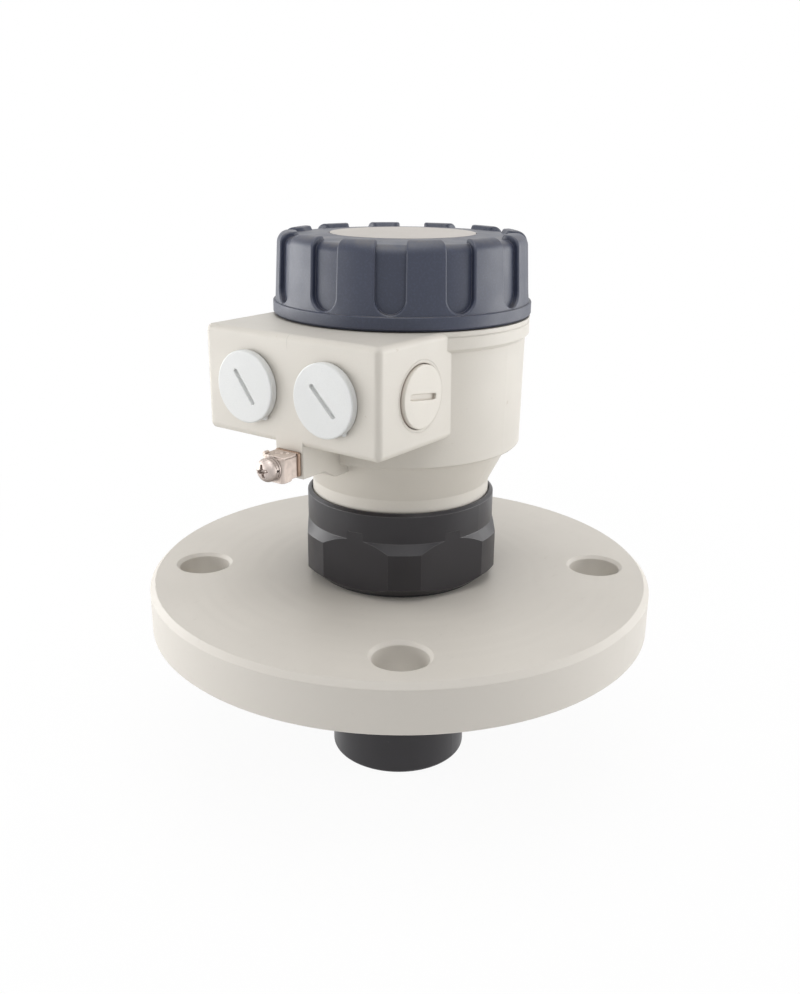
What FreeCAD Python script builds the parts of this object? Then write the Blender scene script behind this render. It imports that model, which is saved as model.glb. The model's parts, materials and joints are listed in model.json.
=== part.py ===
import FreeCAD, Part
import math
import os
import re
import Sketcher

# Ultrasonic level sensor on a flange, in millimetres.
# Origin: centre of the flange's lower face. +Z runs up the axis, the cable box points to -Y.

doc = FreeCAD.newDocument("ultrasonic_level_sensor")
dims = doc.addObject("Spreadsheet::Sheet", "dims")
Vector = FreeCAD.Vector
UP = Vector(0, 0, 1)
FRONT = Vector(0, -1, 0)
SIDE = Vector(1, 0, 0)

# Driving dimensions
SIZES = dict(
    # fits and gaps
    running_gap=0.05, seat_gap=0.05, loose_gap=0.4, thread_gap=0.05,
    # flange
    flange_radius=95.25, flange_thick=18, flange_top_chamfer=2, flange_low_chamfer=0.7,
    bolt_circle=76.2, bolt_hole=9.5, bolt_chamfer=1.2, bolt_sink=45, bolt_clock=36.2, bolt_count=4,
    bore_chamfer=1.6,
    # sensor head
    shank_radius=29.8, thread_end=-22, nose_radius=26.5, nose_end=-59.5, nose_edge=1.2,
    gasket_thick=1.5, gasket_width=1.6, hex_seat=33.4, hex_low=23, hex_corner=37.4, hex_high=36.5,
    hex_flat=34.95, hex_sides=6, hex_clock=8.4, collar_radius=35.1, collar_base=39.9, collar_top=51,
    collar_chamfer=1.0, collar_ledge=49, socket_floor=40, chamber_radius=23, nose_wall=2,
    chamber_top=-16, tube_bore=20, tube_radius=24, tube_top=64.5,
    # transducer
    layer_radius=21, layer_thick=3, piezo_radius=20, piezo_thick=5, glue_gap=0.05,
    backing_top=3.5, lead_radius=0.8, lead_offset=2.4, lead_plug=4.5, lead_plug_high=9,
    # neck of the housing
    spigot_radius=30, band_radius=33.1, band_top=55.5, neck_floor=60.2, ring_thick=1.5,
    ring_width=4.65, ring_groove=1.1, oring_section=1.1, oring_squeeze=0.05, oring_level=44.5,
    # turned body of the housing
    cone_radius=40.3, cone_top=69.7, rim_radius=43.85, rim_level=70.1, rim_edge=0.6,
    body_radius=44.35, lip_low=109.2, lip_high=110.4, lip_radius=45.7, lip_top=116.3,
    part_line=114.5, line_size=0.25, mouth_radius=40, mouth_bore=36.8, mouth_top=128.5,
    cavity_radius=40.5, cavity_low=74, cavity_top=112.5, cone_bore=30.6, cone_bore_top=36.6,
    cone_wall_top=71.5,
    # cable box
    box_half=36.6, box_front=62, box_low=80.4, box_draft=1, box_edge=2.2, wall=3, entry_wall=6,
    # earth lug
    lug_width=11.5, lug_low=69.7, lug_step=51, lug_foot=46, lug_foot_low=66.6, lug_root=36.5,
    insert_radius=3.5, insert_length=13, earth_level=74.5,
    # lid
    lid_low=116.7, band_high=121.3, lid_band=46, lid_chamfer=0.7, band_edge=0.4, rib_low=45.15,
    rib_high=43.9, rib_round=4.2, rib_top=144.8, rib_inner=37.4, rib_slope=1.5, rib_end=2.5,
    rib_edge=0.7, flute_low=43.1, flute_high=42.1, flute_round=3.2, flute_half=4.85,
    flute_lift=0.5, plateau_outer=143.1, plateau_inner=144, disc_radius=25.7, disc_thick=1,
    rib_count=12, lid_clock=0.8, lid_wall=3, seal_seat=43, seal_top=119.3, lid_seal=1.3,
    # round plugs on the box front
    plug_offset=16.56, entry_level=97.8, plug_head=12, plug_thick=2.8, plug_edge=0.35,
    plug_thread=9.95, plug_length=8.5, plug_bore=7.6, plug_seal=1, seal_width=1.4, seal_recess=0.75,
    slot_length=13, slot_width=1.3, slot_depth=1.3, slot_left=53.4, slot_right=45,
    # slotted plugs on the box sides
    side_plug=11, side_level=97.9, side_depth=40.8, side_length=7.5, side_proud=1.2, side_turn=-10,
    side_slot=14, side_slot_wide=2, side_slot_deep=2, side_gap=0.6, side_gap_deep=1.5,
    side_bore=8,
    # earth terminal
    saddle_width=8.8, saddle_depth=8.4, saddle_high=78.6, saddle_low=70.6, saddle_wall=1, saddle_round=1.1,
    washer_radius=4, washer_thick=0.7, spring_radius=3.8, spring_thick=1, spring_split=0.7,
    screw_radius=2, screw_head=3.9, screw_head_high=3, head_round=1.9, screw_reach=11, cross_length=4.4,
    cross_width=0.9, cross_depth=1.8, washer_gap=0.05,
    # electronics
    carrier_edge=2, carrier_low=84, carrier_floor=2.4, carrier_rim=1.6, carrier_high=9,
    carrier_hole=8, post_radius=3, post_high=6, post_count=3, post_clock=30,
    board_play=0.5, board_thick=1.6, fixing_hole=1.75,
    fixing_radius=1.45, fixing_head=2.6, fixing_head_high=2, fixing_length=18,
    block_width=30, block_deep=9, block_high=10, block_back=-13, pole_count=4, pole_pitch=7,
    pole_radius=2.1, pole_depth=3, entry_wide=4, entry_high=3.6, pole_head=1.95,
    chip_wide=14, chip_high=2.2, chip_back=9, can_radius=4, can_high=12, can_side=21, coil_wide=9,
    coil_high=7, coil_side=-21, solder_gap=0.02,
)

UPRIGHT = Vector(0, 1, 0)

# Sketch corners stand here until their constraints place them. A circle's centre is its third point.
START = Vector(20, 5, 0)
STEP = Vector(9, 7, 0)
CENTRE = 3

# How close counts as touching, and how far faces turn at an edge that counts as sharp
NEAR = 0.01
SHARP_ANGLE = math.radians(20)

# The posts stand clear of the retaining ring, and the carrier and its board reach past the posts
POST_CIRCLE = "(tube_radius - ring_groove + running_gap + ring_width + loose_gap + post_radius)"
CARRIER_RADIUS = "(" + POST_CIRCLE + " + post_radius + carrier_edge)"
BOARD_RADIUS = "(" + CARRIER_RADIUS + " - carrier_rim - board_play)"

SIDE_FACE = "(box_half + box_draft * (1 - side_depth / box_front))"
BOARD_LOW = "carrier_low + carrier_floor + post_high + seat_gap"
BOARD_TOP = BOARD_LOW + " + board_thick"


def fill_sheet():
    for row, (name, value) in enumerate(SIZES.items(), start=1):
        dims.set("A%d" % row, name)
        dims.set("B%d" % row, str(value))
        dims.setAlias("B%d" % row, name)
    doc.recompute()


def bound(text):
    """An expression in which every size name points to the sheet."""
    return re.sub(r"[a-z][a-z_]*", lambda word: "dims." + word.group(0)
                  if word.group(0) in SIZES else word.group(0), str(text))


def bind(item, **links):
    for name, text in links.items():
        item.setExpression(name.replace("__", "."), bound(text))


def new_body(label):
    body = doc.addObject("PartDesign::Body", label)
    body.Label = label
    return body


def origin_part(body, role):
    return [part for part in body.Origin.OriginFeatures if part.Role == role][0]


def sketch_on(body, role, lift=None, turn=None):
    """An empty sketch on an origin plane, lifted and turned by bound values."""
    sketch = body.newObject("Sketcher::SketchObject", body.Name + "_sketch")
    sketch.AttachmentSupport = [(origin_part(body, role), "")]
    sketch.MapMode = "FlatFace"
    if lift is not None:
        sketch.setExpression("AttachmentOffset.Base.z", bound(lift))
    if turn is not None:
        sketch.setExpression("AttachmentOffset.Rotation.Angle", bound(turn))
    return sketch


def polygon(sketch, points):
    """A closed outline whose corners are held at bound coordinates."""
    first = len(sketch.Geometry)
    count = len(points)
    rough = [START + i * STEP + (i % 2) * UPRIGHT for i in range(count)]
    for i in range(count):
        sketch.addGeometry(Part.LineSegment(rough[i], rough[(i + 1) % count]), False)
    for i in range(count):
        sketch.addConstraint(Sketcher.Constraint(
            "Coincident", first + i, 2, first + (i + 1) % count, 1))
    for i, (across, along) in enumerate(points):
        hold(sketch, first + i, 1, across, along, rough[i])


def hold(sketch, index, end, across, along, rough):
    for kind, text, value in (("DistanceX", across, rough.x), ("DistanceY", along, rough.y)):
        where = sketch.addConstraint(Sketcher.Constraint(kind, -1, 1, index, end, value))
        sketch.setExpression("Constraints[%d]" % where, bound(text))


def circle(sketch, across, along, radius):
    index = sketch.addGeometry(Part.Circle(START, UP, START.x), False)
    hold(sketch, index, CENTRE, across, along, START)
    where = sketch.addConstraint(Sketcher.Constraint("Radius", index, START.x))
    sketch.setExpression("Constraints[%d]" % where, bound(radius))


def box_outline(sketch, left, right, low, high):
    polygon(sketch, [(left, low), (right, low), (right, high), (left, high)])


def feature(body, kind, sketch, **links):
    """A sketched feature. Plain values are set, texts are bound."""
    made = body.newObject("PartDesign::" + kind, body.Name + "_" + kind.lower())
    made.Profile = sketch
    for name, value in links.items():
        if isinstance(value, str):
            made.setExpression(name, bound(value))
        else:
            setattr(made, name, value)
    sketch.Visibility = False
    doc.recompute()
    return made


def turned(body, points, kind="Revolution", seam=None, **links):
    """A turned piece, or a turned cut, from an outline of (radius, height) corners."""
    sketch = sketch_on(body, "XZ_Plane")
    if seam is not None:
        sketch.AttachmentOffset = FreeCAD.Placement(Vector(), FreeCAD.Rotation(UPRIGHT, 1))
        sketch.setExpression("AttachmentOffset.Rotation.Angle", bound(seam))
    polygon(sketch, points)
    return feature(body, kind, sketch, ReferenceAxis=(origin_part(body, "Z_Axis"), [""]), **links)


def cut(body, sketch, **links):
    """A pocket that is checked to have removed something."""
    before = body.Shape.Volume
    made = feature(body, "Pocket", sketch, **links)
    if body.Shape.Volume >= before:
        raise RuntimeError(made.Name + " removed nothing")
    return made


def pattern(body, originals, count):
    """Repeats features round the upright axis."""
    made = body.newObject("PartDesign::PolarPattern", body.Name + "_pattern")
    made.Originals = originals
    made.Axis = (origin_part(body, "Z_Axis"), [""])
    made.Angle = 360
    made.setExpression("Occurrences", bound(count))
    body.Tip = made
    doc.recompute()
    return made


def edge_names(shape, wanted):
    return ["Edge%d" % (i + 1) for i, edge in enumerate(shape.Edges) if wanted(edge)]


def dress(body, kind, names, size):
    base = body.Tip
    made = body.newObject("PartDesign::" + kind, body.Name + "_" + kind.lower())
    made.Base = (base, names)
    made.setExpression("Radius" if kind == "Fillet" else "Size", bound(size))
    doc.recompute()
    return made


def value(name):
    return getattr(dims, name)


def on_posts(index):
    """Coordinates of one post on the post circle, as bound texts."""
    turn = "(post_clock + %d * 360 / post_count)" % index
    return POST_CIRCLE + " * cos" + turn, POST_CIRCLE + " * sin" + turn


def ring(label, inner, outer, low, high):
    """A plain turned ring or sleeve."""
    body = new_body(label)
    turned(body, [(inner, low), (outer, low), (outer, high), (inner, high)])
    return body


def torus(label, radius, section, level):
    item = doc.addObject("Part::Torus", label)
    item.Label = label
    bind(item, Radius1=radius, Radius2=section, Placement__Base__z=level)
    return item


def cylinder(name, radius, height, across, along, level, axis=UP):
    item = doc.addObject("Part::Cylinder", name)
    item.Placement.Rotation = FreeCAD.Rotation(UP, axis)
    bind(item, Radius=radius, Height=height, Placement__Base__x=across,
         Placement__Base__y=along, Placement__Base__z=level)
    return item


def block(name, length, width, height, across, along, level):
    item = doc.addObject("Part::Box", name)
    bind(item, Length=length, Width=width, Height=height, Placement__Base__x=across,
         Placement__Base__y=along, Placement__Base__z=level)
    return item


def joined(label, items, kind="Part::MultiFuse"):
    made = doc.addObject(kind, label)
    made.Label = label
    if kind == "Part::Compound":
        made.Links = items
    else:
        made.Shapes = items
    return made


def make_flange():
    body = new_body("flange")
    edge = "flange_radius - flange_top_chamfer"
    low_edge = "flange_radius - flange_low_chamfer"
    bore = "shank_radius + thread_gap"
    turned(body, [
        (bore + " + bore_chamfer", "0"), (low_edge, "0"), ("flange_radius", "flange_low_chamfer"),
        ("flange_radius", "flange_thick - flange_top_chamfer"), (edge, "flange_thick"),
        (bore, "flange_thick"), (bore, "bore_chamfer")])
    hole = sketch_on(body, "XY_Plane")
    across, along = "bolt_circle * sin(bolt_clock)", "-bolt_circle * cos(bolt_clock)"
    circle(hole, across, along, "bolt_hole")
    drilled = cut(body, hole, Length="flange_thick", Reversed=True)
    sink = sketch_on(body, "XY_Plane", "flange_thick")
    circle(sink, across, along, "bolt_hole + bolt_chamfer")
    # the drilled hole's mouth is countersunk by a tapered pocket
    tapered = cut(body, sink, Length="bolt_chamfer", TaperAngle="-bolt_sink")
    pattern(body, [drilled, tapered], "bolt_count")
    return body


def make_sensor_body():
    body = new_body("sensor_body")
    chamber_floor = "nose_end + nose_wall"
    seat = "flange_thick + gasket_thick"
    turned(body, [
        ("0", "nose_end"), ("nose_radius", "nose_end"),
        ("nose_radius", "thread_end - 2 * nose_edge"),
        ("shank_radius - nose_edge", "thread_end - nose_edge"),
        ("shank_radius", "thread_end"), ("shank_radius", seat),
        ("hex_seat", seat), ("hex_corner", "hex_low"), ("hex_corner", "hex_high"),
        ("collar_radius", "collar_base"), ("collar_radius", "collar_top - collar_chamfer"),
        ("collar_radius - collar_chamfer", "collar_top"),
        ("band_radius + loose_gap", "collar_top"), ("band_radius + loose_gap", "collar_ledge"),
        ("spigot_radius + loose_gap", "collar_ledge"), ("spigot_radius + loose_gap", "socket_floor"),
        ("tube_radius", "socket_floor"), ("tube_radius", "neck_floor + seat_gap"),
        ("tube_radius - ring_groove", "neck_floor + seat_gap"),
        ("tube_radius - ring_groove", "neck_floor + 3 * seat_gap + ring_thick"),
        ("tube_radius", "neck_floor + 3 * seat_gap + ring_thick"), ("tube_radius", "tube_top"),
        ("tube_bore", "tube_top"), ("tube_bore", "chamber_top + chamber_radius - tube_bore"),
        ("chamber_radius", "chamber_top"), ("chamber_radius", chamber_floor),
        ("0", chamber_floor)])
    dress(body, "Fillet", edge_names(body.Shape, at_corner("nose_radius", "nose_end")), "nose_edge")
    flats = sketch_on(body, "XY_Plane", seat, "hex_clock")
    corner = "hex_flat / cos(180 / hex_sides)"
    circle(flats, "0", "0", corner + " + wall")
    turns = ["(%d * 360 / hex_sides)" % i for i in range(int(value("hex_sides")))]
    polygon(flats, [("%s * cos%s" % (corner, turn), "%s * sin%s" % (corner, turn)) for turn in turns])
    cut(body, flats, Length="collar_base - %s" % seat, Reversed=True)
    return body


def make_transducer():
    floor = "nose_end + nose_wall + glue_gap"
    ring("matching_layer", "0", "layer_radius", floor, floor + " + layer_thick")
    piezo_low = floor + " + layer_thick + glue_gap"
    ring("piezo_disc", "0", "piezo_radius", piezo_low, piezo_low + " + piezo_thick")
    fill_low = piezo_low + " + piezo_thick + glue_gap"
    backing = new_body("backing")
    outer = "chamber_radius - glue_gap"
    turned(backing, [("0", fill_low), (outer, fill_low), (outer, "chamber_top"),
                     ("tube_bore - glue_gap", "chamber_top + chamber_radius - tube_bore"),
                     ("tube_bore - glue_gap", "backing_top"), ("0", "backing_top")])
    start = "backing_top + glue_gap"
    top = BOARD_LOW + " - seat_gap - lead_plug_high"
    wires = [cylinder("lead_%d" % i, "lead_radius", "%s - (%s)" % (top, start),
                      "%d * lead_offset" % side, "0", start)
             for i, side in enumerate((-1, 1))]
    plug = cylinder("lead_plug_shell", "lead_plug", "lead_plug_high", "0", "0", top)
    joined("sensor_leads", wires + [plug])


def make_neck():
    inner = "shank_radius + loose_gap / 2"
    ring("process_gasket", inner, inner + " + gasket_width",
         "flange_thick", "flange_thick + gasket_thick")
    torus("neck_oring", "spigot_radius + loose_gap - oring_section - oring_squeeze",
          "oring_section", "oring_level")
    low = "neck_floor + 2 * seat_gap"
    hold_on = "tube_radius - ring_groove + running_gap"
    ring("retaining_ring", hold_on, hold_on + " + ring_width", low, low + " + ring_thick")


def housing_outline():
    """Outer outline of the turned part, closed along the axis."""
    bottom = "socket_floor + loose_gap"
    groove = "spigot_radius + loose_gap - 2 * oring_section - 2 * oring_squeeze"
    return [
        ("0", bottom), ("spigot_radius", bottom),
        ("spigot_radius", "oring_level - oring_section - oring_squeeze"),
        (groove, "oring_level - oring_section - oring_squeeze"),
        (groove, "oring_level + oring_section + oring_squeeze"),
        ("spigot_radius", "oring_level + oring_section + oring_squeeze"),
        ("spigot_radius", "collar_ledge + seat_gap"), ("band_radius", "collar_ledge + seat_gap"),
        ("band_radius", "band_top"), ("cone_radius", "cone_top"),
        ("rim_radius - rim_edge", "rim_level"), ("rim_radius", "rim_level + rim_edge"),
        ("body_radius", "lip_low"), ("lip_radius", "lip_high"),
        ("lip_radius", "part_line - line_size"), ("lip_radius - line_size", "part_line"),
        ("lip_radius", "part_line + line_size"), ("lip_radius", "lip_top"),
        ("mouth_radius", "lip_top"), ("mouth_radius", "mouth_top"), ("0", "mouth_top")]


def housing_cavity():
    """Outline of the hollow inside, from the neck up through the mouth."""
    return [
        ("0", "socket_floor"), ("tube_radius + running_gap", "socket_floor"),
        ("tube_radius + running_gap", "neck_floor"), ("cone_bore", "neck_floor"),
        ("cone_bore_top", "cone_wall_top"), ("cavity_radius", "cavity_low"),
        ("cavity_radius", "cavity_top - (cavity_radius - mouth_bore)"),
        ("mouth_bore", "cavity_top"), ("mouth_bore", "mouth_top + wall"),
        ("0", "mouth_top + wall")]


def make_housing():
    body = new_body("housing")
    plan = sketch_on(body, "XY_Plane", "box_low")
    back = "(box_half + box_draft)"
    polygon(plan, [("-box_half", "-box_front"), ("box_half", "-box_front"), (back, "0"),
                   ("-" + back, "0")])
    feature(body, "Pad", plan, Length="lip_top - box_low")
    dress(body, "Fillet", edge_names(body.Shape, outer_box_edge), "box_edge")
    turned(body, housing_outline())
    lug = sketch_on(body, "YZ_Plane")
    polygon(lug, [
        ("-box_front", "box_low + wall"), ("-box_front", "lug_low"), ("-lug_step", "lug_low"),
        ("-lug_foot", "lug_foot_low"), ("-lug_root", "lug_foot_low"), ("-lug_root", "box_low + wall")])
    feature(body, "Pad", lug, Length="lug_width", Midplane=True)
    turned(body, housing_cavity(), "Groove")
    room = sketch_on(body, "XZ_Plane", "box_front - entry_wall")
    inner = "box_half - entry_wall"
    box_outline(room, "-(%s)" % inner, inner, "box_low + wall", "lip_top - wall")
    cut(body, room, Length="box_front - entry_wall - plug_offset")
    for side in (-1, 1):
        entry = sketch_on(body, "XZ_Plane", "box_front")
        circle(entry, "%d * plug_offset" % side, "entry_level", "plug_thread + thread_gap")
        cut(body, entry, Length="entry_wall")
    bore_side_entries(body)
    earth = sketch_on(body, "XZ_Plane", "box_front")
    circle(earth, "0", "earth_level", "insert_radius")
    cut(body, earth, Length="insert_length")
    raise_posts(body)
    return body


def outer_box_edge(edge):
    """True for the edges that run round the front and along the box."""
    box = edge.BoundBox
    at_root = abs(box.YMin) < NEAR and abs(box.YMax) < NEAR
    return not at_root


def raise_posts(body):
    """Three posts on the inner floor that carry the board carrier."""
    post = sketch_on(body, "XY_Plane", "neck_floor - wall / 2")
    circle(post, *on_posts(0), "post_radius")
    top = "carrier_low - seat_gap"
    raised = feature(body, "Pad", post, Length=top + " - neck_floor + wall / 2")
    bore = sketch_on(body, "XY_Plane", top)
    circle(bore, *on_posts(0), "fixing_radius")
    drilled = cut(body, bore, Length="fixing_length - board_thick - post_high")
    pattern(body, [raised, drilled], "post_count")


def bore_side_entries(body):
    """Threaded entries bored from clear of the drafted sides, each with a wider mouth."""
    clear = "(box_half + box_draft)"
    mouth = "side_gap_deep + %s - %s" % (clear, SIDE_FACE)
    for side, flip in ((1, False), (-1, True)):
        for radius, depth in (("side_plug + thread_gap", "entry_wall + box_draft"),
                              ("side_plug + side_gap", mouth)):
            entry = sketch_on(body, "YZ_Plane", "%d * %s" % (side, clear))
            circle(entry, "-side_depth", "side_level", radius)
            cut(body, entry, Length=depth, Reversed=flip)


def at_corner(radius, level):
    """True for the full circles at a turned corner, given by its size names."""
    def wanted(edge):
        box = edge.BoundBox
        return (abs(box.ZMin - value(level)) < NEAR and abs(box.ZMax - value(level)) < NEAR
                and abs(box.XMax - value(radius)) < NEAR)
    return wanted


def make_lid_core():
    """The lid without its ribs: band, skirt, fluted wall and top."""
    body = new_body("lid_core")
    skirt = "mouth_radius + thread_gap"
    ceiling = "plateau_outer - lid_wall"
    recess = "disc_radius + loose_gap / 2"
    turned(body, [
        ("0", ceiling), (skirt + " - lid_wall", ceiling), (skirt, ceiling + " - lid_wall"),
        (skirt, "seal_top"), ("seal_seat", "seal_top"), ("seal_seat", "lid_low"),
        ("lid_band - lid_chamfer", "lid_low"), ("lid_band", "lid_low + lid_chamfer"),
        ("lid_band", "band_high"), ("flute_low", "band_high"), ("flute_high", "plateau_outer"),
        (recess, "plateau_inner"), (recess, "plateau_inner - disc_thick"),
        ("0", "plateau_inner - disc_thick")])
    dress(body, "Fillet", edge_names(body.Shape, at_corner("lid_band", "band_high")), "band_edge")
    dress(body, "Fillet", edge_names(body.Shape, at_corner("flute_high", "plateau_outer")),
          "flute_round")
    return body


def make_lid_ribs(core):
    """Grip ribs: a turned ring cut through by round ended flutes, with softened edges."""
    body = new_body("lid_ribs")
    foot = "band_high - lid_chamfer"
    root = "plateau_outer - lid_chamfer"
    turned(body, [
        ("flute_low - wall", foot), ("rib_low", foot), ("rib_low", "band_high"),
        ("rib_high", "rib_top"), ("rib_inner", "rib_top"), ("rib_inner - rib_slope", root),
        ("flute_low - wall", root)], seam="180 / rib_count")
    dress(body, "Fillet", edge_names(body.Shape, at_corner("rib_high", "rib_top")), "rib_round")
    clear = "lid_band + wall"
    start = "band_high + flute_lift + flute_half"
    depth = "%s - rib_inner + lid_wall" % clear
    straight = sketch_on(body, "YZ_Plane", clear)
    box_outline(straight, "-flute_half", "flute_half", start, "rib_top + wall")
    opened = cut(body, straight, Length=depth)
    end = sketch_on(body, "YZ_Plane", clear)
    circle(end, "0", start, "flute_half")
    rounded = cut(body, end, Length=depth)
    pattern(body, [opened, rounded], "rib_count")
    dress(body, "Fillet", sharp_edges(body.Shape, core.Shape, value("rib_inner")), "rib_end")
    dress(body, "Fillet", sharp_edges(body.Shape, core.Shape), "rib_edge")
    return body


def sharp_edges(shape, core, within=None):
    """Names of the sharp edges that stand clear of the core, within a radius if one is given."""
    names = []
    for i, edge in enumerate(shape.Edges):
        faces = shape.ancestorsOfType(edge, Part.Face)
        middle = edge.valueAt((edge.FirstParameter + edge.LastParameter) / 2)
        far = within is not None and math.hypot(middle.x, middle.y) > within - NEAR
        if len(faces) < 2 or far or core.isInside(middle, NEAR, True):
            continue
        normals = [face.normalAt(*face.Surface.parameter(middle)) for face in faces]
        if normals[0].getAngle(normals[1]) > SHARP_ANGLE:
            names.append("Edge%d" % (i + 1))
    return names


def make_lid():
    core = make_lid_core()
    lid = joined("lid", [core, make_lid_ribs(core)])
    lid.setExpression("Placement.Rotation.Angle", bound("lid_clock"))
    lid.Placement.Rotation.Axis = UP
    return lid


def make_lid_trim():
    ring("lid_disc", "0", "disc_radius", "plateau_inner - disc_thick + glue_gap",
         "plateau_inner + glue_gap")
    torus("lid_oring", "mouth_radius + lid_seal + running_gap", "lid_seal",
          "lip_top + lid_seal + seat_gap")


def make_front_plug(name, side, slot_turn):
    """Round blind plug with a hollow threaded shank and a coin slot."""
    body = new_body(name)
    face = "plug_seal - seal_recess"
    turned(body, [
        ("0", "plug_thick"), ("plug_head - plug_edge", "plug_thick"),
        ("plug_head", "plug_thick - plug_edge"), ("plug_head", face),
        ("plug_thread + seal_width + running_gap", face),
        ("plug_thread + seal_width + running_gap", "plug_seal"), ("plug_thread", "plug_seal"),
        ("plug_thread", "-plug_length"), ("plug_bore", "-plug_length"), ("plug_bore", "0"),
        ("0", "0")])
    slot = sketch_on(body, "XY_Plane", "plug_thick", slot_turn)
    box_outline(slot, "-slot_length / 2", "slot_length / 2", "-slot_width / 2", "slot_width / 2")
    cut(body, slot, Length="slot_depth")
    seat_on_front(body, side)
    seal = ring(name.replace("plug", "seal"), "plug_thread + running_gap",
                "plug_thread + seal_width", "0", "plug_seal - 2 * running_gap")
    seat_on_front(seal, side)


def seat_on_front(body, side):
    body.Placement.Rotation = FreeCAD.Rotation(UP, FRONT)
    bind(body, Placement__Base__x="%d * plug_offset" % side,
         Placement__Base__y="-box_front - running_gap", Placement__Base__z="entry_level")


def make_side_plug(name, side):
    """Slotted conduit plug that sits nearly flush in the side of the box."""
    body = new_body(name)
    turned(body, [
        ("0", "side_proud"), ("side_plug - side_gap", "side_proud"),
        ("side_plug", "side_proud - side_gap"), ("side_plug", "side_proud - side_length"),
        ("side_bore", "side_proud - side_length"), ("side_bore", "side_proud - wall - side_slot_deep"),
        ("0", "side_proud - wall - side_slot_deep")])
    slot = sketch_on(body, "XY_Plane", "side_proud", "%d * side_turn" % side)
    box_outline(slot, "-side_slot_wide / 2", "side_slot_wide / 2", "-side_slot / 2", "side_slot / 2")
    cut(body, slot, Length="side_slot_deep")
    body.Placement.Rotation = FreeCAD.Rotation(UP, SIDE * side)
    bind(body, Placement__Base__x="%d * %s" % (side, SIDE_FACE), Placement__Base__y="-side_depth",
         Placement__Base__z="side_level")


def make_earth_terminal():
    saddle_face = "box_front + washer_gap + saddle_depth"
    make_saddle(saddle_face)
    washer_low = "%s + washer_gap" % saddle_face
    spring_low = "%s + washer_thick + washer_gap" % washer_low
    head_low = "%s + spring_thick + washer_gap" % spring_low
    hole = "screw_radius + running_gap"
    washer = ring("earth_washer", hole, "washer_radius", "0", "washer_thick")
    stand_forward(washer, washer_low)
    spring = ring("earth_spring_washer", hole, "spring_radius", "0", "spring_thick")
    split = sketch_on(spring, "XY_Plane")
    box_outline(split, "0", "spring_radius + wall", "-spring_split / 2", "spring_split / 2")
    cut(spring, split, Length="spring_thick", Reversed=True)
    stand_forward(spring, spring_low)
    insert = ring("earth_insert", "screw_radius + thread_gap", "insert_radius - glue_gap",
                  "-insert_length + glue_gap", "0")
    stand_forward(insert, "box_front")
    make_earth_screw(head_low)


def stand_forward(body, reach):
    """Stands a piece on the earth screw's axis, a distance in front of the main axis."""
    body.Placement.Rotation = FreeCAD.Rotation(UP, FRONT)
    bind(body, Placement__Base__y="-(%s)" % reach, Placement__Base__z="earth_level")


def make_saddle(face):
    """Pressed clamp: a front plate with a top flange and two side flanges."""
    body = new_body("earth_saddle")
    plan = sketch_on(body, "XZ_Plane", "box_front + washer_gap")
    box_outline(plan, "-saddle_width / 2", "saddle_width / 2", "saddle_low", "saddle_high")
    feature(body, "Pad", plan, Length="saddle_depth")
    dress(body, "Fillet", edge_names(body.Shape, saddle_bend), "saddle_round")
    hollow = sketch_on(body, "XZ_Plane", "%s - saddle_wall" % face)
    half = "(saddle_width / 2 - saddle_wall)"
    box_outline(hollow, "-" + half, half, "saddle_low", "saddle_high - saddle_wall")
    cut(body, hollow, Length="saddle_depth - saddle_wall")
    hole = sketch_on(body, "XZ_Plane", face)
    circle(hole, "0", "earth_level", "screw_radius + running_gap")
    cut(body, hole, Length="saddle_wall")


def saddle_bend(edge):
    """True for the edges between the clamp's front plate, top and sides."""
    box = edge.BoundBox
    at_back = abs(box.YMax - box.YMin) < NEAR and abs(box.YMax + value("box_front")) < value("wall")
    return not at_back and box.ZMax > value("saddle_low") + NEAR


def make_earth_screw(head_low):
    """Pan head screw with a cross recess."""
    body = new_body("earth_screw")
    turned(body, [
        ("0", "-screw_reach - (%s - box_front)" % head_low),
        ("screw_radius", "-screw_reach - (%s - box_front)" % head_low), ("screw_radius", "0"),
        ("screw_head", "0"), ("screw_head", "screw_head_high"), ("0", "screw_head_high")])
    dress(body, "Fillet", edge_names(body.Shape, at_corner("screw_head", "screw_head_high")),
          "head_round")
    for turn in ("0", "90"):
        slot = sketch_on(body, "XY_Plane", "screw_head_high", turn)
        box_outline(slot, "-cross_length / 2", "cross_length / 2", "-cross_width / 2", "cross_width / 2")
        cut(body, slot, Length="cross_depth")
    stand_forward(body, head_low)


def make_carrier():
    """Moulded tray with posts for the board, held between the housing's walls."""
    low, floor = "carrier_low", "carrier_low + carrier_floor"
    tray = new_body("carrier")
    turned(tray, [
        ("carrier_hole", low), (CARRIER_RADIUS, low), (CARRIER_RADIUS, low + " + carrier_high"),
        (CARRIER_RADIUS + " - carrier_rim", low + " + carrier_high"),
        (CARRIER_RADIUS + " - carrier_rim", floor), ("carrier_hole", floor)])
    post = sketch_on(tray, "XY_Plane", low)
    circle(post, *on_posts(0), "post_radius")
    raised = feature(tray, "Pad", post, Length="carrier_floor + post_high")
    bore = sketch_on(tray, "XY_Plane", low + " + carrier_floor + post_high")
    circle(bore, *on_posts(0), "fixing_hole")
    drilled = cut(tray, bore, Length="carrier_floor + post_high")
    pattern(tray, [raised, drilled], "post_count")


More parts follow.
